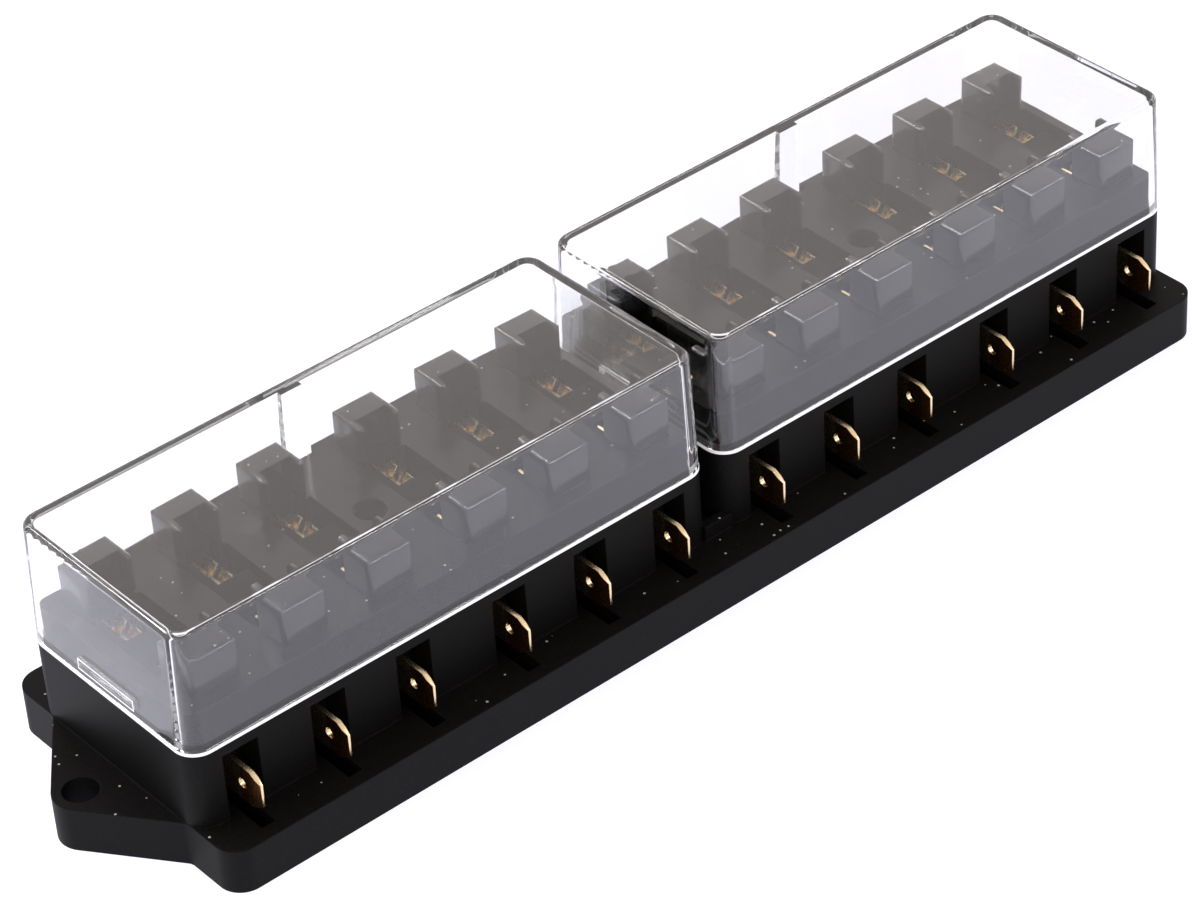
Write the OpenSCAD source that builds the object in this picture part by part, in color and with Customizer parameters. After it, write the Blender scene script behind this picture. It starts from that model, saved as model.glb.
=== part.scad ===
// Twelve-way blade fuse block: one moulded housing, twenty-four pressed terminals and a
// clear lift-off cover over each bank of six fuse ways. All sizes are in millimetres.
// X runs along the block, -Y is the front row of tabs and Z points up from the mounting
// face. The origin is the centre of that face.

/* [Fuse] */
// Length of a fuse body
fuse_l = 19.1; // [12:0.1:30]
// Thickness of a fuse body
fuse_t = 5.1; // [3:0.1:7]
// Distance between the centres of a fuse's two blades
blade_pitch = 14; // [12:0.1:16]
// Width of a blade
blade_w = 5.2; // [3:0.1:6]
// Gap on each side of a fuse body
fuse_side_gap = 0.25; // [0.1:0.05:0.6]
// Gap at each end of a fuse body
fuse_end_gap = 1.05; // [0.5:0.05:2]
// Distance from the plane of a way's tabs to the middle of its fuse
fuse_offset = 0.5; // [0:0.05:0.8]

/* [Ways] */
// Distance between neighbouring fuse ways
way_pitch = 15.3; // [14:0.1:22]
// Extra distance between the two groups of three ways in a bank
group_gap = 2.35; // [0:0.05:8]
// Distance from the last way to the end of its bank
way_margin = 8.2; // [7.5:0.1:16]
// Gap between the two banks
bank_gap = 2.7; // [1:0.1:12]

/* [Flange] */
// Width of flange left beyond the slots under the tabs
flange_rim = 2.4; // [1:0.1:15]
// Thickness of the mounting flange and its ears
flange_t = 7.55; // [4:0.05:9]
// Corner radius of the flange
flange_r = 3.85; // [1:0.05:6]
// Distance from the end of the flange to an ear's hole
ear_reach = 6.5; // [5:0.1:15]
// Radius of an ear's tip
ear_tip_r = 4.3; // [3.6:0.1:7]
// Angle between an ear's side and the length of the block
ear_angle = 54; // [30:1:70]
// Radius of the fillet where an ear leaves the flange
ear_fillet = 1.8; // [0.5:0.1:4]
// Diameter of the mounting holes
ear_hole_d = 5.5; // [3:0.1:6]

/* [Bank] */
// Width of a bank
bank_w = 39.3; // [38:0.1:48]
// Height of a bank's wall above the flange
bank_h = 12.85; // [11:0.05:25]
// Corner radius of a bank
bank_r = 3.65; // [2.6:0.05:8]
// Height of the web that joins the banks above the flange
web_h = 2.45; // [1:0.05:10]
// Thickness of that web
web_t = 1.6; // [1:0.1:4]

/* [Deck] */
// Height of the deck above the cover's seat
deck_h = 6.6; // [5:0.1:12]
// Depth of the fuse channels in the deck
channel_d = 1.8; // [0.8:0.1:3]
// Diameter of the round socket in the middle of a deck
socket_d = 5; // [2:0.1:6]
// Depth of that socket
socket_depth = 8; // [3:0.1:12]

/* [Posts] */
// Width of a fuse post
post_w = 8; // [7:0.1:11]
// Distance from the middle of the block to a post's inner face
post_y = 8.3; // [6:0.1:9.5]
// Distance from a post's outer face to the deck's side
post_inset = 2.25; // [1.5:0.05:4]
// Height of a post above the deck
post_h = 6.7; // [3:0.1:10]
// Radius on a post's edges
post_r = 1.25; // [0.3:0.05:1.5]

/* [Terminals] */
// Thickness of a terminal's sheet
tab_t = 0.8; // [0.5:0.05:1.2]
// Width of a tab
tab_w = 6.3; // [4:0.1:7.5]
// Height of a tab above the flange
tab_lift = 1.65; // [0.5:0.05:2.5]
// Length of a tab outside its bank's wall
tab_reach = 4.3; // [3:0.1:5]
// Length of the slanted corners at a tab's tip
tip_slant = 2.2; // [0.5:0.1:3]
// Height of those corners
tip_rise = 1.25; // [0.3:0.05:1.8]
// Length of the bevel on a tab's tip
bevel_l = 1.1; // [0.3:0.1:2]
// Thickness left at the end of the bevel
bevel_end_t = 0.4; // [0.2:0.05:0.5]
// Diameter of a tab's hole
tab_hole_d = 1.65; // [1:0.05:2.5]
// Distance from a tab's tip to its hole
tab_hole_back = 4.3; // [3:0.1:6]
// Width of a clip beyond each side of a blade
clip_margin = 0.65; // [0.2:0.05:0.8]
// Thickness of a clip's leaves
leaf_t = 0.5; // [0.3:0.05:0.7]
// Free gap between the leaves where they grip a blade
clip_gap = 0.5; // [0.3:0.05:0.6]
// Distance from the middle of a blade to the left lip
left_lip = 0.8; // [0.6:0.05:1.2]
// Distance from the middle of a blade to the right lip
right_lip = 1.7; // [1:0.05:2]
// Width of the slit that splits a leaf into two fingers
finger_gap = 0.9; // [0.4:0.1:1.5]
// Depth of the lips below the floor of a fuse channel
lip_drop = 0.4; // [0.2:0.05:2]

/* [Terminal pockets] */
// Gap around a terminal's clip
pocket_gap = 0.35; // [0.2:0.05:0.6]
// Width of the slots in the flange
slot_w = 2.4; // [1.6:0.1:4]
// Gap beyond a tab's tip in its slot
slot_end_gap = 0.45; // [0.2:0.05:1]
// Gap on each side of a terminal's sheet in the wall
sheet_gap = 0.15; // [0.05:0.05:0.3]
// Width of a tab's window in the wall
window_w = 6.1; // [4:0.1:8]
// Depth of a tab's window
window_d = 5; // [2:0.1:6]
// Wall left above a tab's window
window_top = 1.7; // [1:0.1:3]
// Wall between a window and a core beside it
core_wall = 1.6; // [1:0.1:2.2]
// Wall between the front and rear cores
core_rib = 2; // [1:0.1:4]
// Wall round the cores elsewhere
core_skin = 2.2; // [1.2:0.1:3]

/* [Covers] */
// Thickness of a cover's walls
cover_wall = 1.6; // [1:0.05:2]
// Thickness of a cover's top
cover_top = 1.5; // [1:0.05:2.5]
// Height of a cover
cover_h = 20.95; // [18:0.05:40]
// Gap between a cover's rim and its seat
seat_gap = 0.05; // [0.02:0.01:0.3]
// Inward lean of each wall over the cover's height
cover_draft = 0.6; // [0:0.05:0.9]
// Radius on the cover's top edges
cover_edge_r = 1.1; // [0.4:0.05:1.4]
// Radius inside those edges
cover_inner_r = 0.15; // [0.1:0.05:0.4]
// Gap between a cover and the deck's sides
cover_gap = 0.5; // [0.3:0.05:1]
// Width of the guide pad on a cover's rear wall
pad_w = 3.8; // [2:0.1:6]
// Thickness of that pad
pad_t = 1.5; // [0.8:0.1:2]
// Gap on each side of a guide pad in its groove
pad_side_gap = 1.2; // [0.3:0.1:2]
// Gap between a guide pad's face and the floor of its groove
pad_face_gap = 0.45; // [0.2:0.05:1]
// Width of the latch grooves inside a cover's ends
latch_w = 13.4; // [6:0.1:20]
// Height of a latch groove
latch_h = 1.9; // [1:0.05:3]
// Depth of a latch groove
latch_d = 0.8; // [0.3:0.05:0.8]
// Distance from the cover's rim to a latch groove
latch_z = 1.6; // [0.8:0.05:2.4]
// Gap round a latch bar in its groove
latch_gap = 0.15; // [0.05:0.05:0.3]
// Reach of a latch bar out of the deck's end
latch_reach = 0.25; // [0.1:0.05:0.25]

/* [Hidden] */
$fn = 64;
GROUP_WAYS = 3;
CUT = 1;
CORNERS = [[1, 1], [-1, 1], [-1, -1], [1, -1]];

bank_l = 2 * (GROUP_WAYS - 1) * way_pitch + way_pitch + group_gap + 2 * way_margin;
bank_x = (bank_l + bank_gap) / 2;
banks = [-bank_x, bank_x];
half_group = (way_pitch + group_gap) / 2;
group_ways = [for (i = [0 : GROUP_WAYS - 1]) half_group + i * way_pitch];
bank_ways = concat([for (i = [GROUP_WAYS - 1 : -1 : 0]) -group_ways[i]], group_ways);
ways = [for (bank = banks, x = bank_ways) bank + x];

flange_l = 2 * bank_l + bank_gap;
flange_w = bank_w + 2 * (tab_reach + slot_end_gap + flange_rim);
seat_z = flange_t + bank_h;
cover_z = seat_z + seat_gap;
deck_z = seat_z + deck_h;
channel_z = deck_z - channel_d;
post_z = deck_z + post_h;

deck_inset = cover_wall + cover_gap;
deck_l = bank_l - 2 * deck_inset;
deck_w = bank_w - 2 * deck_inset;
deck_r = bank_r - deck_inset;
post_d = deck_w / 2 - post_y - post_inset;

fuse_slot_w = fuse_t + 2 * fuse_side_gap;
fuse_slot_y = fuse_l / 2 + fuse_end_gap;

tab_z = flange_t + tab_lift;
tab_top = tab_z + tab_w;
tab_tip = bank_w / 2 + tab_reach;
clip_w = blade_w + 2 * clip_margin;
clip_y = blade_pitch / 2;
clip_in = clip_y - clip_w / 2;
lip_z = channel_z - lip_drop;
pocket_in = clip_in - pocket_gap;
pocket_out = clip_y + clip_w / 2 + pocket_gap;
pocket_left = fuse_offset - left_lip - leaf_t / 2 - pocket_gap;
window_in = bank_w / 2 - window_d;

groove_w = pad_w + 2 * pad_side_gap;
pad_in = bank_w / 2 - cover_wall - pad_t;
groove_in = pad_in - pad_face_gap;

function terminal_name(row, i) = str("terminal_", row, i < 10 ? "_0" : "_", i);

// Unit vector along v, and the vector a quarter turn to its left
function unit(v) = v / norm(v);
function left_of(v) = [-v[1], v[0]];

// One side of a sheet bent along the path p, at the distance d from the path
function strip_side(p, d) = [
    for (i = [0 : len(p) - 1])
        let (
            before = i > 0 ? unit(p[i] - p[i - 1]) : unit(p[1] - p[0]),
            after = i < len(p) - 1 ? unit(p[i + 1] - p[i]) : before,
            mitre = unit(left_of(before) + left_of(after))
        )
        p[i] + mitre * d / (mitre * left_of(before))
];

// Outline of a sheet of thickness t bent along the path p
function strip(p, t) =
    let (back = strip_side(p, -t / 2))
    concat(strip_side(p, t / 2), [for (i = [len(p) - 1 : -1 : 0]) back[i]]);

// Rectangle with round corners, centred on the origin
module rounded_rect(l, w, r) {
    square([l - 2 * r, w], center = true);
    square([l, w - 2 * r], center = true);
    for (c = CORNERS)
        translate([c[0] * (l / 2 - r), c[1] * (w / 2 - r)]) circle(r);
}

// Upright outline with round top corners, standing on the X axis
module round_topped(w, h, r) {
    translate([-w / 2, 0]) square([w, h - r]);
    translate([-w / 2 + r, 0]) square([w - 2 * r, h]);
    for (s = [-1, 1])
        translate([s * (w / 2 - r), h - r]) circle(r);
}

module rounded_block(l, w, r, h) {
    linear_extrude(h) rounded_rect(l, w, r);
}

// Copies its children to the rear and the front row
module both_rows() {
    children();
    mirror([0, 1, 0]) children();
}

// Copies its children to the tabs of every fuse way
module every_terminal() {
    for (x = ways)
        translate([x, 0, 0]) both_rows() children();
}

// Copies its children to the middle of every fuse
module every_fuse() {
    for (x = ways)
        translate([x + fuse_offset, 0, 0]) children();
}

// Outline of the ear at the right end: a tongue round the hole, filleted into the flange
module ear_outline() {
    end = flange_l / 2;
    hole = [end + ear_reach, 0];
    normal = [sin(ear_angle), cos(ear_angle)];
    tip = hole + ear_tip_r * normal;
    base_y = tip[1] + (tip[0] - end) * tan(ear_angle);
    centre = [end + ear_fillet, base_y + ear_fillet * (1 - normal[0]) / normal[1]];
    foot = centre - ear_fillet * normal;
    translate(hole) circle(ear_tip_r);
    polygon([
        [end - ear_reach, base_y], [end, base_y], tip,
        [tip[0], -tip[1]], [end, -base_y], [end - ear_reach, -base_y]
    ]);
    for (s = [0, 1])
        mirror([0, s]) difference() {
            polygon([[end - CUT, base_y - CUT], [end - CUT, centre[1]], [end, centre[1]], centre, foot]);
            translate(centre) circle(ear_fillet);
        }
}

module flange() {
    rounded_block(flange_l, flange_w, flange_r, flange_t);
    for (s = [0, 1])
        mirror([s, 0, 0]) linear_extrude(flange_t) ear_outline();
}

// Post that holds one end of a fuse, standing on the deck
module post() {
    translate([0, post_y + post_d / 2, 0]) intersection() {
        rounded_block(post_w, post_d, post_r, post_z);
        rotate([90, 0, 0]) linear_extrude(post_d, center = true) round_topped(post_w, post_z, post_r);
        rotate([90, 0, 90]) linear_extrude(post_w, center = true) round_topped(post_d, post_z, post_r);
    }
}

// Bars on the ends of a deck for the cover's latch grooves
module latch_bars() {
    bar_l = deck_l + 2 * latch_reach;
    translate([-bar_l / 2, -latch_w / 2 + latch_gap, seat_z + latch_z + latch_gap])
        cube([bar_l, latch_w - 2 * latch_gap, latch_h - 2 * latch_gap]);
}

// Room for one terminal: clip pocket, slot for its sheet and window for its tab
module terminal_cuts() {
    pocket_l = pocket_out - pocket_in;
    pocket_h = channel_z + 2 * CUT;
    pocket_right = fuse_offset + fuse_slot_w / 2;
    channel_right = fuse_offset + post_w / 2;
    translate([pocket_left, pocket_in, -CUT]) cube([pocket_right - pocket_left, pocket_l, pocket_h]);
    translate([0, pocket_in, -CUT]) cube([channel_right, post_y - pocket_in, pocket_h]);
    slot_l = tab_tip + slot_end_gap - clip_y;
    translate([-slot_w / 2, clip_y, -CUT]) cube([slot_w, slot_l, flange_t + CUT]);
    sheet_slot_w = tab_t + 2 * sheet_gap;
    translate([-sheet_slot_w / 2, clip_y, 0]) cube([sheet_slot_w, window_in + CUT - clip_y, tab_top]);
    translate([-window_w / 2, window_in, flange_t])
        cube([window_w, window_d + CUT, bank_h - window_top]);
}

// Channel for a fuse across the deck and the slots for its ends in the posts
module fuse_cuts() {
    translate([-post_w / 2, -post_y, channel_z]) cube([post_w, 2 * post_y, channel_d + CUT]);
    translate([-fuse_slot_w / 2, -fuse_slot_y, channel_z])
        cube([fuse_slot_w, 2 * fuse_slot_y, post_z + CUT - channel_z]);
}

// Cores under the deck between neighbouring ways of a group
module cores() {
    core_left = fuse_offset + post_w / 2 + core_wall;
    core_right = way_pitch - window_w / 2 - core_wall;
    core_out = deck_w / 2 - core_skin;
    for (i = [0 : len(ways) - 2])
        if ((i + 1) % GROUP_WAYS != 0)
            translate([ways[i] + core_left, 0, 0]) both_rows() translate([0, core_rib / 2, -CUT])
                cube([core_right - core_left, core_out - core_rib / 2, deck_z - core_skin + CUT]);
}

module housing() {
    color("#2a2a2e") difference() {
        union() {
            flange();
            both_rows() translate([-bank_gap, bank_w / 2 - web_t, 0])
                cube([2 * bank_gap, web_t, flange_t + web_h]);
            for (x = banks)
                translate([x, 0, 0]) {
                    rounded_block(bank_l, bank_w, bank_r, seat_z);
                    rounded_block(deck_l, deck_w, deck_r, deck_z);
                    latch_bars();
                }
            every_fuse() both_rows() post();
        }
        for (s = [-1, 1])
            translate([s * (flange_l / 2 + ear_reach), 0, -CUT])
                cylinder(d = ear_hole_d, h = flange_t + 2 * CUT);
        for (x = banks)
            translate([x, 0, 0]) {
                translate([0, 0, deck_z - socket_depth]) cylinder(d = socket_d, h = socket_depth + CUT);
                translate([-groove_w / 2, groove_in, seat_z]) cube([groove_w, bank_w, deck_h + CUT]);
            }
        every_fuse() fuse_cuts();
        every_terminal() terminal_cuts();
        cores();
    }
}

// Flat sheet from the clip to the tab's tip, with its slanted corners, bevel and hole
module sheet() {
    difference() {
        intersection() {
            rotate([90, 0, 90]) linear_extrude(tab_t, center = true) polygon([
                [clip_in, tab_z], [tab_tip - tip_slant, tab_z], [tab_tip, tab_z + tip_rise],
                [tab_tip, tab_top - tip_rise], [tab_tip - tip_slant, tab_top], [clip_in, tab_top]
            ]);
            translate([0, 0, tab_z]) linear_extrude(tab_w) polygon([
                [-tab_t / 2, clip_in], [tab_t / 2, clip_in], [tab_t / 2, tab_tip - bevel_l],
                [bevel_end_t / 2, tab_tip], [-bevel_end_t / 2, tab_tip], [-tab_t / 2, tab_tip - bevel_l]
            ]);
        }
        translate([0, tab_tip - tab_hole_back, tab_z + tab_w / 2]) rotate([0, 90, 0])
            cylinder(d = tab_hole_d, h = tab_t + 2 * CUT, center = true);
    }
}

// Sprung leaf on one side of a blade; reach is the distance of its lip from the blade's middle
module leaf(side, reach) {
    root_z = tab_top - leaf_t;
    rise = lip_z - root_z;
    root_x = side * (tab_t - leaf_t) / 2;
    belly_x = fuse_offset + side * reach;
    path = [
        [root_x, root_z - leaf_t],
        [root_x, root_z],
        [belly_x, root_z + 0.25 * rise],
        [belly_x, root_z + 0.45 * rise],
        [fuse_offset + side * (clip_gap + leaf_t) / 2, root_z + 0.8 * rise],
        [belly_x, lip_z]
    ];
    translate([0, clip_in + clip_w, 0]) rotate([90, 0, 0]) linear_extrude(clip_w) polygon(strip(path, leaf_t));
}

// Pair of leaves that grip a fuse blade, each slit into two fingers
module clip() {
    slit_z = tab_top + 0.25 * (lip_z - tab_top);
    difference() {
        union() {
            leaf(-1, left_lip);
            leaf(1, right_lip);
        }
        translate([-bank_w / 2, clip_y - finger_gap / 2, slit_z]) cube([bank_w, finger_gap, deck_z]);
    }
}

module terminal(x, side) {
    color("#c39a4e") translate([x, 0, 0]) mirror([0, side < 0 ? 1 : 0, 0]) {
        sheet();
        clip();
    }
}

// Box with leaning walls and round top edges, standing at the height of the cover's rim
module leaning_box(l, w, r, h, lean, edge_r) {
    sliver = 0.01;
    hull() {
        translate([0, 0, cover_z]) rounded_block(l, w, r, sliver);
        for (c = CORNERS)
            translate([c[0] * (l / 2 - r), c[1] * (w / 2 - r), cover_z + h - edge_r])
                rotate_extrude($fn = 48) translate([r - lean - edge_r, 0]) circle(edge_r, $fn = 32);
    }
}

module cover(x) {
    inner_h = cover_h - cover_top;
    inner_r = bank_r - cover_wall;
    inner_lean = cover_draft * inner_h / cover_h;
    color([0.86, 0.9, 0.93, 0.35]) translate([x, 0, 0]) difference() {
        union() {
            difference() {
                leaning_box(bank_l, bank_w, bank_r, cover_h, cover_draft, cover_edge_r);
                leaning_box(
                    bank_l - 2 * cover_wall, bank_w - 2 * cover_wall, inner_r,
                    inner_h, inner_lean, cover_inner_r
                );
            }
            translate([-pad_w / 2, pad_in, cover_z])
                cube([pad_w, pad_t + cover_wall / 3, inner_h + cover_top / 3]);
        }
        groove_l = bank_l - 2 * (cover_wall - latch_d);
        translate([-groove_l / 2, -latch_w / 2, seat_z + latch_z]) cube([groove_l, latch_w, latch_h]);
    }
}

housing();
for (i = [1 : len(ways)]) {
    terminal(ways[i - 1], -1);
    terminal(ways[i - 1], 1);
}
cover(-bank_x);  // left_cover
cover(bank_x);  // right_cover
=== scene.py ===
# %% [markdown]
# # A blade fuse block
# A long black moulding carries twelve fuse ways in two banks. Brass tabs stand along both sides, and a clear
# lift-off cover sits over each bank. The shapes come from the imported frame, so this file is about finish:
# the grain of the black plastic, the stamped brass, the clear covers, and the light that shows them.

# %% The frame
import math

import bpy
from mathutils import Matrix, Vector


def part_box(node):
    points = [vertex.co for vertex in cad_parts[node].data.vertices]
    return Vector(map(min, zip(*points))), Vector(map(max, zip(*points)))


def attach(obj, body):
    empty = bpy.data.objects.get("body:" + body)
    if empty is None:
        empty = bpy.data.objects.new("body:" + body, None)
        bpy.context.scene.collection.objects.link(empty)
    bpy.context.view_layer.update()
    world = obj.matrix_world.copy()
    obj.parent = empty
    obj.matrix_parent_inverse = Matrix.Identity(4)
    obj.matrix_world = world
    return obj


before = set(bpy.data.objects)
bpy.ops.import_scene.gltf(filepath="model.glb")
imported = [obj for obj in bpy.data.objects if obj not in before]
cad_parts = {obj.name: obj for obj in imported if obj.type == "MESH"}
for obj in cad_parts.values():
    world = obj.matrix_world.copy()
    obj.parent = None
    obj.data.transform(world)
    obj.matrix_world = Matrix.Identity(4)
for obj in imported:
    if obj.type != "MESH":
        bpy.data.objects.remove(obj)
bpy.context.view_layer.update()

MM = 0.001
SCENE = bpy.context.scene

# %% [markdown]
# ## The camera
# The camera is placed before anything else, because every finish is judged through it. Its angles and its
# distance were worked out from the block's own right angles. It could also be aimed by a constraint, but it is
# set by plain numbers instead.

# %% The camera
IMAGE = (1200, 911)
CAMERA_AT = Vector((-0.3272, -0.40538, 0.39881))
CAMERA_AZIMUTH = math.radians(-38.379)
CAMERA_ELEVATION = math.radians(36.584)
CAMERA_ROLL = math.radians(-3.957)
FOCAL_PIXELS = 4270.3
SENSOR = 36.0


def camera_matrix(azimuth, elevation, roll, place):
    """Camera at place that looks along azimuth and down by elevation, rolled about its own axis."""
    back = Vector((
        math.sin(azimuth) * math.cos(elevation),
        -math.cos(azimuth) * math.cos(elevation),
        math.sin(elevation),
    ))
    right = Vector((math.cos(azimuth), math.sin(azimuth), 0.0))
    up = back.cross(right)
    turned_right = right * math.cos(roll) + up * math.sin(roll)
    turned_up = up * math.cos(roll) - right * math.sin(roll)
    axes = Matrix((turned_right, turned_up, back)).transposed().to_4x4()
    return Matrix.Translation(place) @ axes


camera = bpy.data.objects.new("camera", bpy.data.cameras.new("camera"))
camera.data.sensor_width = SENSOR
camera.data.lens = FOCAL_PIXELS / IMAGE[0] * SENSOR
camera.data.clip_start, camera.data.clip_end = 0.01, 20.0
camera.matrix_world = camera_matrix(CAMERA_AZIMUTH, CAMERA_ELEVATION, CAMERA_ROLL, CAMERA_AT)
SCENE.collection.objects.link(camera)
SCENE.camera = camera
print("lens:", round(camera.data.lens, 1), "mm")

# %% [markdown]
# ## Small helpers for shader nodes
# Each material below is a short list of nodes and links. These helpers keep it readable: one adds a node and
# sets its values, and one starts a shader node group with named sockets.

# %% Helpers for shader nodes
def add_node(tree, kind, at=(0, 0), **values):
    """New shader node of that kind; each value is set on the input or the property of that name."""
    node = tree.nodes.new(kind)
    node.location = at
    for name, value in values.items():
        socket = node.inputs.get(name.replace("_", " "))
        if socket is not None:
            socket.default_value = value
        else:
            setattr(node, name, value)
    return node


def new_group(name, inputs, outputs):
    """Empty shader node group. inputs are (name, kind, default), outputs are (name, kind)."""
    tree = bpy.data.node_groups.new(name, "ShaderNodeTree")
    for label, kind, default in inputs:
        socket = tree.interface.new_socket(label, in_out="INPUT", socket_type=kind)
        socket.default_value = default
    for label, kind in outputs:
        tree.interface.new_socket(label, in_out="OUTPUT", socket_type=kind)
    return tree, add_node(tree, "NodeGroupInput", (-900, 0)), add_node(tree, "NodeGroupOutput", (700, 0))


def new_material(name):
    """Material with an empty tree, its Principled shader and its tree."""
    material = bpy.data.materials.new(name)
    material.use_nodes = True
    tree = material.node_tree
    tree.nodes.clear()
    shader = add_node(tree, "ShaderNodeBsdfPrincipled", (400, 0))
    output = add_node(tree, "ShaderNodeOutputMaterial", (700, 0))
    tree.links.new(shader.outputs["BSDF"], output.inputs["Surface"])
    return material, tree, shader


def place_group(tree, group, at=(0, 0), **values):
    """A shader node group placed in a material's tree with its own values."""
    node = tree.nodes.new("ShaderNodeGroup")
    node.node_tree = group
    node.location = at
    for name, value in values.items():
        node.inputs[name.replace("_", " ")].default_value = value
    return node


# %% [markdown]
# ## Surface grain
# Moulded plastic takes its fine grain from the spark-eroded steel of the mould. An image could give it, but a
# procedural noise has no seams and no repeats. The same group serves the brass, whose rolled sheet has a much
# finer grain, and it also puts out the grain as a mask, so that the roughness can follow it.

# %% Group: grain
def make_grain():
    tree, start, end = new_group(
        "surface grain",
        [("Grains per metre", "NodeSocketFloat", 3000.0), ("Depth", "NodeSocketFloat", 0.2),
         ("Height", "NodeSocketFloat", 0.00002), ("Edge radius", "NodeSocketFloat", 0.0002)],
        [("Normal", "NodeSocketVector"), ("Mask", "NodeSocketFloat")],
    )
    place = add_node(tree, "ShaderNodeTexCoord", (-900, 300))
    noise = add_node(tree, "ShaderNodeTexNoise", (-600, 200), Detail=3.0, Roughness=0.6)
    rounded = add_node(tree, "ShaderNodeBevel", (-300, -200), samples=6)
    bump = add_node(tree, "ShaderNodeBump", (200, 0))
    link = tree.links.new
    link(place.outputs["Object"], noise.inputs["Vector"])
    link(start.outputs["Grains per metre"], noise.inputs["Scale"])
    link(start.outputs["Edge radius"], rounded.inputs["Radius"])
    link(start.outputs["Depth"], bump.inputs["Strength"])
    link(start.outputs["Height"], bump.inputs["Distance"])
    link(noise.outputs["Fac"], bump.inputs["Height"])
    link(rounded.outputs["Normal"], bump.inputs["Normal"])
    link(bump.outputs["Normal"], end.inputs["Normal"])
    link(noise.outputs["Fac"], end.inputs["Mask"])
    return tree


GRAIN = make_grain()
print("group:", GRAIN.name)

# %% [markdown]
# ## Dust
# A few pale specks lie on the black plastic. Points of a Voronoi pattern make them: a cell shows a speck only
# where its own random colour is low, so the specks are few and never in rows. Dust settles from above, so only
# faces that look up carry it.

# %% Group: dust
def make_dust():
    tree, start, end = new_group(
        "dust specks",
        [("Specks per metre", "NodeSocketFloat", 260.0), ("Share", "NodeSocketFloat", 0.12),
         ("Size", "NodeSocketFloat", 0.045)],
        [("Mask", "NodeSocketFloat")],
    )
    place = add_node(tree, "ShaderNodeTexCoord", (-900, 300))
    cells = add_node(tree, "ShaderNodeTexVoronoi", (-600, 200))
    chosen = add_node(tree, "ShaderNodeMath", (-300, 200), operation="LESS_THAN")
    near = add_node(tree, "ShaderNodeMath", (-300, 0), operation="LESS_THAN")
    both = add_node(tree, "ShaderNodeMath", (0, 100), operation="MULTIPLY")
    facing = add_node(tree, "ShaderNodeNewGeometry", (-900, -200))
    parts = add_node(tree, "ShaderNodeSeparateXYZ", (-600, -200))
    upward = add_node(tree, "ShaderNodeMath", (-300, -200), operation="GREATER_THAN")
    upward.inputs[1].default_value = 0.7
    settled = add_node(tree, "ShaderNodeMath", (300, 0), operation="MULTIPLY")
    link = tree.links.new
    link(place.outputs["Object"], cells.inputs["Vector"])
    link(start.outputs["Specks per metre"], cells.inputs["Scale"])
    link(cells.outputs["Color"], chosen.inputs[0])
    link(start.outputs["Share"], chosen.inputs[1])
    link(cells.outputs["Distance"], near.inputs[0])
    link(start.outputs["Size"], near.inputs[1])
    link(chosen.outputs["Value"], both.inputs[0])
    link(near.outputs["Value"], both.inputs[1])
    link(facing.outputs["True Normal"], parts.inputs["Vector"])
    link(parts.outputs["Z"], upward.inputs[0])
    link(both.outputs["Value"], settled.inputs[0])
    link(upward.outputs["Value"], settled.inputs[1])
    link(settled.outputs["Value"], end.inputs["Mask"])
    return tree


DUST = make_dust()
print("group:", DUST.name)

# %% [markdown]
# ## Black moulded plastic
# The housing is one black moulding. Real black plastic is never one flat black: it turns a little lighter and
# rougher where the melt flowed unevenly, it has the grain of its mould, and it holds a few specks of dust.
# The fuse posts come from polished steel, so from the deck's top up a clear coat gives them the gloss that the
# grained outside and the channels don't have. One material with a mask by height does this without cutting the
# moulding in two.

# %% Finish: black moulding
DECK_TOP = 27.0 * MM


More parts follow.
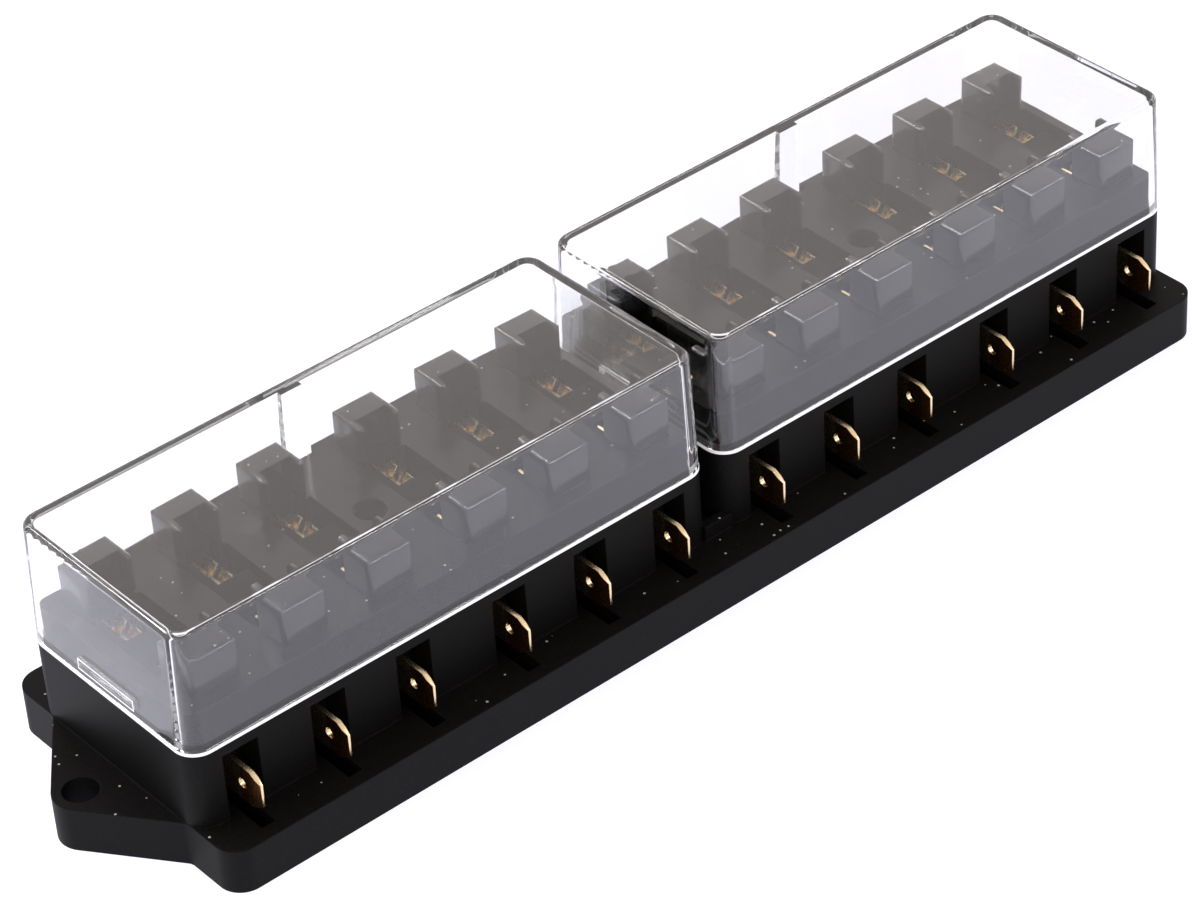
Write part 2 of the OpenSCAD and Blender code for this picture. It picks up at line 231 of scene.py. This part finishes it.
def make_black_moulding():
    material, tree, shader = new_material("black moulding")
    link = tree.links.new
    place = add_node(tree, "ShaderNodeTexCoord", (-900, 400))
    clouds = add_node(tree, "ShaderNodeTexNoise", (-700, 400), Scale=45.0, Detail=4.0, Roughness=0.55)
    shade = add_node(tree, "ShaderNodeMix", (-400, 400), data_type="RGBA")
    shade.inputs[6].default_value = (0.0030, 0.0027, 0.0026, 1.0)
    shade.inputs[7].default_value = (0.0050, 0.0046, 0.0044, 1.0)
    dust = place_group(tree, DUST, (-400, 100), Specks_per_metre=620.0, Share=0.34, Size=0.13)
    dusted = add_node(tree, "ShaderNodeMix", (-100, 300), data_type="RGBA")
    dusted.inputs[7].default_value = (0.42, 0.41, 0.40, 1.0)
    grain = place_group(tree, GRAIN, (-400, -250), Grains_per_metre=2600.0, Depth=0.35, Height=0.00003,
                        Edge_radius=0.00025)
    tips = add_node(tree, "ShaderNodeMapRange", (-500, 250))
    for label, value in (("From Min", 0.52), ("From Max", 0.72), ("To Min", 0.0), ("To Max", 0.6)):
        tips.inputs[label].default_value = value
    grained = add_node(tree, "ShaderNodeMix", (-250, 400), data_type="RGBA")
    grained.inputs[7].default_value = (0.0120, 0.0120, 0.0120, 1.0)
    rough = add_node(tree, "ShaderNodeMapRange", (-100, -50))
    rough.inputs["To Min"].default_value = 0.42
    rough.inputs["To Max"].default_value = 0.58
    link(place.outputs["Object"], clouds.inputs["Vector"])
    link(clouds.outputs["Fac"], shade.inputs[0])
    link(grain.outputs["Mask"], tips.inputs["Value"])
    link(tips.outputs["Result"], grained.inputs[0])
    link(shade.outputs[2], grained.inputs[6])
    link(grained.outputs[2], dusted.inputs[6])
    link(dust.outputs["Mask"], dusted.inputs[0])
    link(dusted.outputs[2], shader.inputs["Base Color"])
    link(grain.outputs["Mask"], rough.inputs["Value"])
    link(rough.outputs["Result"], shader.inputs["Roughness"])
    link(grain.outputs["Normal"], shader.inputs["Normal"])
    height = add_node(tree, "ShaderNodeSeparateXYZ", (-700, -500))
    polished = add_node(tree, "ShaderNodeMapRange", (-400, -500))
    polished.inputs["From Min"].default_value = DECK_TOP - 0.5 * MM
    polished.inputs["From Max"].default_value = DECK_TOP + 0.7 * MM
    link(place.outputs["Object"], height.inputs["Vector"])
    link(height.outputs["Z"], polished.inputs["Value"])
    link(polished.outputs["Result"], shader.inputs["Coat Weight"])
    shader.inputs["Coat Roughness"].default_value = 0.16
    shader.inputs["Coat IOR"].default_value = 1.55
    shader.inputs["Specular IOR Level"].default_value = 0.09
    return material


BLACK_MOULDING = make_black_moulding()
print("finish:", BLACK_MOULDING.name)

# %% [markdown]
# ## Stamped brass
# The tabs and clips are stamped from rolled brass sheet. Outside the bank the rolled faces get a painted shade,
# a dark coppery brown, and the faces that the punch cut get a painted highlight of bright gold. The sheet stands
# square to X, so the normal tells a rolled face from a cut one, and no second material is needed. The clips inside
# the bank are painted bright gold all over, a painted highlight.

# %% Finish: stamped brass
BANK_WALL_Y = 19.65 * MM


def make_stamped_brass():
    material, tree, shader = new_material("stamped brass")
    link = tree.links.new
    place = add_node(tree, "ShaderNodeTexCoord", (-900, 400))
    clouds = add_node(tree, "ShaderNodeTexNoise", (-700, 400), Scale=380.0, Detail=3.0, Roughness=0.5)
    shade = add_node(tree, "ShaderNodeMix", (-400, 400), data_type="RGBA")
    shade.inputs[6].default_value = (0.34, 0.13, 0.05, 1.0)
    shade.inputs[7].default_value = (0.62, 0.29, 0.12, 1.0)
    facing = add_node(tree, "ShaderNodeNewGeometry", (-900, 100))
    parts = add_node(tree, "ShaderNodeSeparateXYZ", (-700, 100))
    across = add_node(tree, "ShaderNodeMath", (-500, 100), operation="ABSOLUTE")
    rolled = add_node(tree, "ShaderNodeMapRange", (-300, 100))
    rolled.inputs["From Min"].default_value = 0.55
    rolled.inputs["From Max"].default_value = 0.9
    # Painted light: the dark coppery colour is a painted shade on the rolled faces outside the bank; the bright
    # gold is a painted highlight on the cut faces and on the clips inside the bank.
    painted_light_colour = add_node(tree, "ShaderNodeMix", (-100, 300), data_type="RGBA")
    painted_light_colour.inputs[6].default_value = (1.0, 0.79, 0.49, 1.0)
    depth = add_node(tree, "ShaderNodeMath", (-500, -50), operation="ABSOLUTE")
    outside = add_node(tree, "ShaderNodeMapRange", (-300, -80))
    outside.inputs["From Min"].default_value = BANK_WALL_Y - 1.0 * MM
    outside.inputs["From Max"].default_value = BANK_WALL_Y
    painted_shade_share = add_node(tree, "ShaderNodeMath", (-100, 50), operation="MULTIPLY")
    position = add_node(tree, "ShaderNodeSeparateXYZ", (-700, -50))
    grain = place_group(tree, GRAIN, (-400, -250), Grains_per_metre=5200.0, Depth=0.06, Height=0.00001,
                        Edge_radius=0.00008)
    rough = add_node(tree, "ShaderNodeMapRange", (-100, -50))
    rough.inputs["To Min"].default_value = 0.20
    rough.inputs["To Max"].default_value = 0.34
    link(place.outputs["Object"], clouds.inputs["Vector"])
    link(clouds.outputs["Fac"], shade.inputs[0])
    link(facing.outputs["True Normal"], parts.inputs["Vector"])
    link(parts.outputs["X"], across.inputs[0])
    link(across.outputs["Value"], rolled.inputs["Value"])
    link(place.outputs["Object"], position.inputs["Vector"])
    link(position.outputs["Y"], depth.inputs[0])
    link(depth.outputs["Value"], outside.inputs["Value"])
    link(rolled.outputs["Result"], painted_shade_share.inputs[0])
    link(outside.outputs["Result"], painted_shade_share.inputs[1])
    link(painted_shade_share.outputs["Value"], painted_light_colour.inputs[0])
    link(shade.outputs[2], painted_light_colour.inputs[7])
    link(painted_light_colour.outputs[2], shader.inputs["Base Color"])
    link(grain.outputs["Mask"], rough.inputs["Value"])
    link(rough.outputs["Result"], shader.inputs["Roughness"])
    link(grain.outputs["Normal"], shader.inputs["Normal"])
    shader.inputs["Metallic"].default_value = 1.0
    return material


STAMPED_BRASS = make_stamped_brass()
print("finish:", STAMPED_BRASS.name)

# %% [markdown]
# ## Clear cover plastic
# The covers are clear polycarbonate. A thin-walled trick could fake them, but the bright lines along their
# edges come from light that is bent inside real wall thickness, so they are true glass with the index of
# polycarbonate. Handling leaves faint scratches: noise that is stretched a hundred times along one slanted line
# makes thin streaks, and only the highest of them turn the surface rough.

# %% Finish: clear plastic
POLYCARBONATE_IOR = 1.585


def make_clear_plastic():
    material, tree, shader = new_material("clear plastic")
    link = tree.links.new
    place = add_node(tree, "ShaderNodeTexCoord", (-900, 400))
    haze = add_node(tree, "ShaderNodeTexNoise", (-700, 200), Scale=60.0, Detail=5.0, Roughness=0.6)
    rough = add_node(tree, "ShaderNodeMapRange", (-300, 100))
    rough.inputs["From Min"].default_value = 0.35
    rough.inputs["From Max"].default_value = 0.75
    rough.inputs["To Min"].default_value = 0.0
    rough.inputs["To Max"].default_value = 0.05
    slant = add_node(tree, "ShaderNodeMapping", (-900, -200))
    slant.inputs["Rotation"].default_value = (0.4, 0.7, 0.5)
    slant.inputs["Scale"].default_value = (2600.0, 2600.0, 26.0)
    streaks = add_node(tree, "ShaderNodeTexNoise", (-700, -200), Scale=1.0, Detail=1.0)
    scratch = add_node(tree, "ShaderNodeMapRange", (-300, -200))
    for label, value in (("From Min", 0.70), ("From Max", 0.78), ("To Min", 0.0), ("To Max", 0.22)):
        scratch.inputs[label].default_value = value
    worn = add_node(tree, "ShaderNodeMath", (0, 0), operation="MAXIMUM")
    link(place.outputs["Object"], haze.inputs["Vector"])
    link(haze.outputs["Fac"], rough.inputs["Value"])
    link(place.outputs["Object"], slant.inputs["Vector"])
    link(slant.outputs["Vector"], streaks.inputs["Vector"])
    link(streaks.outputs["Fac"], scratch.inputs["Value"])
    link(rough.outputs["Result"], worn.inputs[0])
    link(scratch.outputs["Result"], worn.inputs[1])
    link(worn.outputs["Value"], shader.inputs["Roughness"])
    shader.inputs["Base Color"].default_value = (0.985, 0.99, 0.995, 1.0)
    shader.inputs["Transmission Weight"].default_value = 1.0
    shader.inputs["Metallic"].default_value = 0.0
    shader.inputs["IOR"].default_value = POLYCARBONATE_IOR
    return material


CLEAR_PLASTIC = make_clear_plastic()
print("finish:", CLEAR_PLASTIC.name)

# %% [markdown]
# ## Edges that catch the light
# No moulded or stamped edge is perfectly sharp, and it is the small rounding that catches the light. The
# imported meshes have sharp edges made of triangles, so each piece gets modifiers: a weld that joins the
# triangles and, on the terminals, a planar decimate that merges flat ones and a bevel that rounds what is left.
# The moulding has too many small pockets for a bevel, so its edges are rounded in the shader instead.

# %% Rounding modifiers
WELD_DISTANCE = 0.002 * MM
FLAT_ANGLE = math.radians(0.6)
SHARP_ANGLE = math.radians(38)


def smooth_by_angle(piece, angle):
    """Smooth shading across every edge that is flatter than angle, as a geometry nodes modifier."""
    tree = bpy.data.node_groups.get("smooth by angle")
    if tree is None:
        tree = bpy.data.node_groups.new("smooth by angle", "GeometryNodeTree")
        tree.interface.new_socket("Geometry", in_out="INPUT", socket_type="NodeSocketGeometry")
        tree.interface.new_socket("Geometry", in_out="OUTPUT", socket_type="NodeSocketGeometry")
        start = add_node(tree, "NodeGroupInput", (-600, 0))
        end = add_node(tree, "NodeGroupOutput", (400, 0))
        bend = add_node(tree, "GeometryNodeInputMeshEdgeAngle", (-600, -200))
        flat = add_node(tree, "FunctionNodeCompare", (-400, -200), data_type="FLOAT", operation="LESS_EQUAL")
        flat.inputs[1].default_value = angle
        faces = add_node(tree, "GeometryNodeSetShadeSmooth", (-200, 0), domain="FACE")
        edges = add_node(tree, "GeometryNodeSetShadeSmooth", (100, 0), domain="EDGE")
        tree.links.new(start.outputs[0], faces.inputs["Geometry"])
        tree.links.new(faces.outputs[0], edges.inputs["Geometry"])
        tree.links.new(bend.outputs["Unsigned Angle"], flat.inputs[0])
        tree.links.new(flat.outputs[0], edges.inputs["Shade Smooth"])
        tree.links.new(edges.outputs[0], end.inputs[0])
    modifier = piece.modifiers.new("smooth", "NODES")
    modifier.node_group = tree


def round_edges(piece, radius):
    """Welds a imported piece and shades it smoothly; with a radius, its sharp edges are rounded too."""
    weld = piece.modifiers.new("weld", "WELD")
    weld.merge_threshold = WELD_DISTANCE
    if radius > 0:
        merge = piece.modifiers.new("merge flats", "DECIMATE")
        merge.decimate_type = "DISSOLVE"
        merge.angle_limit = FLAT_ANGLE
        bevel = piece.modifiers.new("rounding", "BEVEL")
        bevel.width = radius
        bevel.segments = 1
        bevel.limit_method = "ANGLE"
        bevel.angle_limit = SHARP_ANGLE
        bevel.use_clamp_overlap = False
    smooth_by_angle(piece, SHARP_ANGLE)


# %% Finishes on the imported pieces
def finish_piece(piece, material, radius=0.0):
    piece.data.materials.clear()
    piece.data.materials.append(material)
    round_edges(piece, radius)


for name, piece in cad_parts.items():
    if name.startswith("terminal"):
        finish_piece(piece, STAMPED_BRASS, 0.06 * MM)
    elif name.endswith("cover"):
        finish_piece(piece, CLEAR_PLASTIC)
    else:
        finish_piece(piece, BLACK_MOULDING)
print("finished pieces:", len(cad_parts))

# %% [markdown]
# ## The rims, frosted and with a painted glow
# The lower rim of each cover is a cut face, matte and white, and it shows as a thin white line all round. The
# clear walls stay clear, so the line is a piece of its own: a band 0.6 mm high that follows the rim and moves
# with its cover. The band also glows a little, a painted glow for light that the clear wall carries down to its
# rim. A second material on the cover would need other faces in the imported mesh, which stays as it is.

# %% Finish and band: matte white rim with a painted glow
RIM_HEIGHT = 0.55 * MM
RIM_PROUD = 0.03 * MM
RIM_SUNK = 0.06 * MM
RIM_CORNER = 3.65 * MM
CORNER_STEPS = 10


def make_rim_painted_glow():
    material, tree, shader = new_material("rim with painted glow")
    place = add_node(tree, "ShaderNodeTexCoord", (-900, 0))
    wear = add_node(tree, "ShaderNodeTexNoise", (-600, 0), Scale=220.0, Detail=3.0)
    shade = add_node(tree, "ShaderNodeMix", (-300, 0), data_type="RGBA")
    shade.inputs[6].default_value = (0.62, 0.63, 0.66, 1.0)
    shade.inputs[7].default_value = (0.95, 0.95, 0.96, 1.0)
    tree.links.new(place.outputs["Object"], wear.inputs["Vector"])
    tree.links.new(wear.outputs["Fac"], shade.inputs[0])
    tree.links.new(shade.outputs[2], shader.inputs["Base Color"])
    shader.inputs["Roughness"].default_value = 0.7
    # Painted glow: the band gives off light of its own, standing for light that the clear wall carries down to its
    # rim.
    shader.inputs["Emission Color"].default_value = (1.0, 1.0, 1.0, 1.0)
    shader.inputs["Emission Strength"].default_value = 0.25
    return material


def rounded_outline(low, high, radius, proud):
    """Points round a rectangle with round corners, moved outwards by proud."""
    centres = [(high.x - radius, high.y - radius), (low.x + radius, high.y - radius),
               (low.x + radius, low.y + radius), (high.x - radius, low.y + radius)]
    points = []
    for quarter, (x, y) in enumerate(centres):
        for step in range(CORNER_STEPS + 1):
            turn = math.radians(90.0 * (quarter + step / CORNER_STEPS))
            reach = radius + proud
            points.append((x + reach * math.cos(turn), y + reach * math.sin(turn)))
    return points


def make_rim(name, cover, body):
    low, high = (Vector(corner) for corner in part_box(cover))
    outer = rounded_outline(low, high, RIM_CORNER, RIM_PROUD)
    inner = rounded_outline(low, high, RIM_CORNER, -RIM_SUNK)
    bottom, top = low.z, low.z + RIM_HEIGHT
    rings = [(outer, bottom), (outer, top), (inner, top), (inner, bottom)]
    points = [(x, y, z) for ring, z in rings for x, y in ring]
    count = len(outer)
    faces = []
    for ring in range(4):
        here, above = ring * count, (ring + 1) % 4 * count
        for i in range(count):
            j = (i + 1) % count
            faces.append((here + i, here + j, above + j, above + i))
    mesh = bpy.data.meshes.new(name)
    mesh.from_pydata(points, [], faces)
    mesh.materials.append(RIM_PAINTED_GLOW)
    band = bpy.data.objects.new(name, mesh)
    SCENE.collection.objects.link(band)
    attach(band, body)
    print("band:", name, len(faces), "faces")
    return band


# %% Outlines of the latch grooves, drawn as painted highlight lines
LATCH_WIDE = 13.4 * MM
LATCH_LOW = 1.55 * MM
LATCH_HIGH = 3.45 * MM
LINE_WIDE = 0.22 * MM
WALL_LEAN = 0.6 / 20.95


def make_latch_outline(name, cover, body, side):
    """Glowing white outline, a painted highlight where a latch groove's edge shows through a cover's end wall;
    side is -1 or 1 along X.
    """
    low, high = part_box(cover)
    half = LATCH_WIDE / 2
    frames = [(half, LATCH_LOW, LATCH_HIGH), (half - LINE_WIDE, LATCH_LOW + LINE_WIDE, LATCH_HIGH - LINE_WIDE)]
    points = []
    for proud in (RIM_PROUD, -RIM_SUNK):
        for reach, bottom, top in frames:
            for y, z in ((-reach, bottom), (reach, bottom), (reach, top), (-reach, top)):
                wall = (high.x if side > 0 else -low.x) - z * WALL_LEAN + proud
                points.append((side * wall, y, low.z + z))
    faces = []
    for i in range(4):
        j = (i + 1) % 4
        faces += [(i, j, 4 + j, 4 + i), (8 + i, 12 + i, 12 + j, 8 + j), (i, 8 + i, 8 + j, j), (4 + i, 4 + j, 12 + j, 12 + i)]
    mesh = bpy.data.meshes.new(name)
    mesh.from_pydata(points, [], faces)
    mesh.materials.append(RIM_PAINTED_GLOW)
    outline = bpy.data.objects.new(name, mesh)
    SCENE.collection.objects.link(outline)
    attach(outline, body)
    return outline


# %% Rims and outlines of both covers
RIM_PAINTED_GLOW = make_rim_painted_glow()
for side_name, cover_name in (("left", "left_cover"), ("right", "right_cover")):
    for end_name, direction in (("left", -1), ("right", 1)):
        make_latch_outline(f"{side_name}_latch_line_{end_name}", cover_name, f"{side_name}_lid", direction)
make_rim("left_painted_glow_band", "left_cover", "left_lid")
make_rim("right_painted_glow_band", "right_cover", "right_lid")

# %% [markdown]
# ## Light and floor
# The block stands in an almost shadowless white setting. Clear plastic is drawn by what it mirrors and bends, so
# the sky is white to well above the block and greyer overhead, and it is brighter on the left and behind, where
# the photograph's posts catch more light. The floor gives off its own white, as a lit table does, and only the
# strip under the block stays dark.

# %% Sky
SKY_WHITE = (1.0, 0.93, 0.91, 1.0)
SKY_DARK = (0.74, 0.71, 0.70, 1.0)
SKY_BRIGHT_SIDE = (-0.9, 0.45, 0.0)


def make_sky():
    world = bpy.data.worlds.new("white sky")
    world.use_nodes = True
    tree = world.node_tree
    background = tree.nodes["Background"]
    direction = add_node(tree, "ShaderNodeTexCoord", (-1100, 0))
    height = add_node(tree, "ShaderNodeSeparateXYZ", (-900, 100))
    ramp = add_node(tree, "ShaderNodeValToRGB", (-700, 100))
    stops = ramp.color_ramp.elements
    stops[0].position, stops[0].color = 0.0, SKY_WHITE
    stops[1].position, stops[1].color = 0.65, SKY_WHITE
    stops.new(0.88).color = SKY_DARK
    towards = add_node(tree, "ShaderNodeVectorMath", (-900, -200), operation="DOT_PRODUCT")
    towards.inputs[1].default_value = SKY_BRIGHT_SIDE
    gain = add_node(tree, "ShaderNodeMapRange", (-600, -200))
    for label, value in (("From Min", -1.0), ("From Max", 1.0), ("To Min", 0.9), ("To Max", 1.15)):
        gain.inputs[label].default_value = value
    tree.links.new(direction.outputs["Generated"], height.inputs["Vector"])
    tree.links.new(height.outputs["Z"], ramp.inputs["Fac"])
    tree.links.new(direction.outputs["Generated"], towards.inputs[0])
    tree.links.new(towards.outputs["Value"], gain.inputs["Value"])
    tree.links.new(ramp.outputs["Color"], background.inputs["Color"])
    tree.links.new(gain.outputs["Result"], background.inputs["Strength"])
    SCENE.world = world
    print("sky:", world.name)


make_sky()

# %% Floor
FLOOR_REACH = 3.0
UNDER_BLOCK = (0.0955, 0.0256)
FLOOR_SLOPE = (-0.5, 1.0, 0.0)


def make_floor():
    mesh = bpy.data.meshes.new("floor")
    corners = [(-1, -1, 0), (1, -1, 0), (1, 1, 0), (-1, 1, 0)]
    mesh.from_pydata([(x * FLOOR_REACH, y * FLOOR_REACH, z) for x, y, z in corners], [], [(0, 1, 2, 3)])
    floor = bpy.data.objects.new("floor", mesh)
    floor.location.z = -0.05 * MM
    SCENE.collection.objects.link(floor)
    material, tree, shader = new_material("lit white table")
    link = tree.links.new
    place = add_node(tree, "ShaderNodeTexCoord", (-1100, 0))
    parts = add_node(tree, "ShaderNodeSeparateXYZ", (-900, 0))
    link(place.outputs["Object"], parts.inputs["Vector"])
    inside = []
    for axis, half in zip("XY", UNDER_BLOCK):
        size = add_node(tree, "ShaderNodeMath", (-700, 0), operation="ABSOLUTE")
        within = add_node(tree, "ShaderNodeMath", (-500, 0), operation="LESS_THAN")
        within.inputs[1].default_value = half
        link(parts.outputs[axis], size.inputs[0])
        link(size.outputs["Value"], within.inputs[0])
        inside.append(within)
    # Painted shadow: under the block the floor's colour and its glow are painted almost black.
    painted_shadow = add_node(tree, "ShaderNodeMath", (-300, 0), operation="MULTIPLY")
    for socket, within in zip(painted_shadow.inputs, inside):
        link(within.outputs["Value"], socket)
    for label, clear in (("Base Color", (0.3, 0.3, 0.3, 1.0)), ("Emission Color", (0.80, 0.80, 0.93, 1.0))):
        shade = add_node(tree, "ShaderNodeMix", (-50, 0), data_type="RGBA")
        shade.inputs[6].default_value = clear
        shade.inputs[7].default_value = (0.004, 0.004, 0.004, 1.0)
        link(painted_shadow.outputs["Value"], shade.inputs[0])
        link(shade.outputs[2], shader.inputs[label])
    behind = add_node(tree, "ShaderNodeVectorMath", (-700, -300), operation="DOT_PRODUCT")
    behind.inputs[1].default_value = FLOOR_SLOPE
    gain = add_node(tree, "ShaderNodeMapRange", (-400, -300))
    for label, value in (("From Min", 0.0), ("From Max", 0.06), ("To Min", 1.0), ("To Max", 1.2)):
        gain.inputs[label].default_value = value
    link(place.outputs["Object"], behind.inputs[0])
    link(behind.outputs["Value"], gain.inputs["Value"])
    link(gain.outputs["Result"], shader.inputs["Emission Strength"])
    shader.inputs["Roughness"].default_value = 0.9
    mesh.materials.append(material)
    print("floor:", 2 * FLOOR_REACH, "m wide")


make_floor()

# %% [markdown]
# ## Lamps
# One weak soft lamp hangs above. Two narrow strips do a different job: each stands where the round top edges of
# the covers mirror it towards the camera, so the edges show as white lines, while the flat walls mirror the
# floor and the sky. A strip is bright but small, so it hardly lights the black plastic. Light that is caught
# inside a clear wall turns back many times before it comes out at an edge, so the paths need many bounces.

# %% Lamps and light paths
def make_softbox(name, place, aim, size, watts):
    light = bpy.data.lights.new(name, "AREA")
    light.shape = "RECTANGLE"
    light.size, light.size_y = size
    light.energy = watts
    lamp = bpy.data.objects.new(name, light)
    lamp.location = place
    lamp.rotation_mode = "QUATERNION"
    lamp.rotation_quaternion = (Vector(aim) - Vector(place)).to_track_quat("-Z", "Y")
    SCENE.collection.objects.link(lamp)
    return lamp


make_softbox("top softbox", (-0.15, 0.35, 0.9), (0.0, 0.0, 0.02), (0.7, 0.5), 1.0)
make_softbox("left rear strip", (-0.54, 0.76, 0.76), (0.0, 0.0, 0.03), (0.6, 0.14), 3.5)
make_softbox("front right strip", (0.60, -0.72, 0.76), (0.0, 0.0, 0.03), (0.6, 0.10), 2.0)
SCENE.view_settings.view_transform = "Standard"
SCENE.cycles.max_bounces = 64
SCENE.cycles.transmission_bounces = 64
SCENE.cycles.glossy_bounces = 16
print("light bounces in the clear walls:", SCENE.cycles.transmission_bounces)
